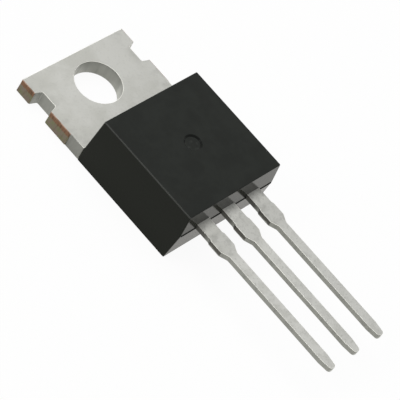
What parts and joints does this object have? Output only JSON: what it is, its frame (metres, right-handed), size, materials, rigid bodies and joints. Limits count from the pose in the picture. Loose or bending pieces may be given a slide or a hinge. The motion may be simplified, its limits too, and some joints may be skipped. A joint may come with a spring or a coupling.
{
  "type": "power mosfet",
  "caption": "Power transistor with a black moulded body, a tinned metal tab with a mounting hole and three straight flat leads, built with its chip and bond wires inside.",
  "frame": {"origin": "the centre of the mounting hole, on the back face that lies against a heat sink", "axes": "+Y runs along the part towards the free end of the tab, so the leads point to -Y; +Z comes out of the front face of the moulding; +X runs across the leads from the gate lead to the source lead"},
  "size_m": [0.01, 0.0289, 0.0044],
  "materials": {
    "moulding_compound": "smooth black epoxy moulding compound with a low sheen",
    "tinned_copper": "matt tin plating over copper; the sheared edges show bare copper",
    "silicon": "polished silicon with a pale metal top layer",
    "solder": "dull grey solder",
    "bond_wire": "bright drawn aluminium wire"
  },
  "bodies": {
    "root": {"moulded_body": "moulding_compound", "drain_header": "tinned_copper", "gate_lead": "tinned_copper", "source_lead": "tinned_copper", "silicon_chip": "silicon", "chip_solder": "solder", "gate_wire": "bond_wire", "source_wire_1": "bond_wire", "source_wire_2": "bond_wire", "source_wire_3": "bond_wire"}
  },
  "joints": []
}
